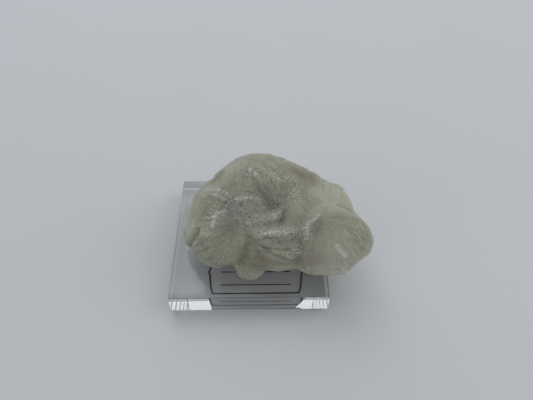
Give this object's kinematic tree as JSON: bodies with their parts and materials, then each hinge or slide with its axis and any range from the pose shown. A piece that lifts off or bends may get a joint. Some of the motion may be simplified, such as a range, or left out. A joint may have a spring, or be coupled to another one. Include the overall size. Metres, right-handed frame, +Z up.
{
  "type": "prehnite specimen",
  "caption": "Lumpy pale grey-green translucent prehnite stone resting on a square clear acrylic display block, with a clear label film stuck under the block.",
  "frame": {"origin": "centre of the label film's underside, the face that the specimen stands on", "axes": "+Z up, -Y towards the edge where the label is stuck, +X to the right, the side where the stone overhangs the block"},
  "size_m": [0.041, 0.0317, 0.0211],
  "materials": {
    "prehnite": "frosted, waxy to vitreous",
    "clear_acrylic": "polished clear",
    "clear_film": "clear film, slightly matte"
  },
  "bodies": {
    "root": {"prehnite": "prehnite", "acrylic_block": "clear_acrylic", "label_film": "clear_film"}
  },
  "joints": []
}
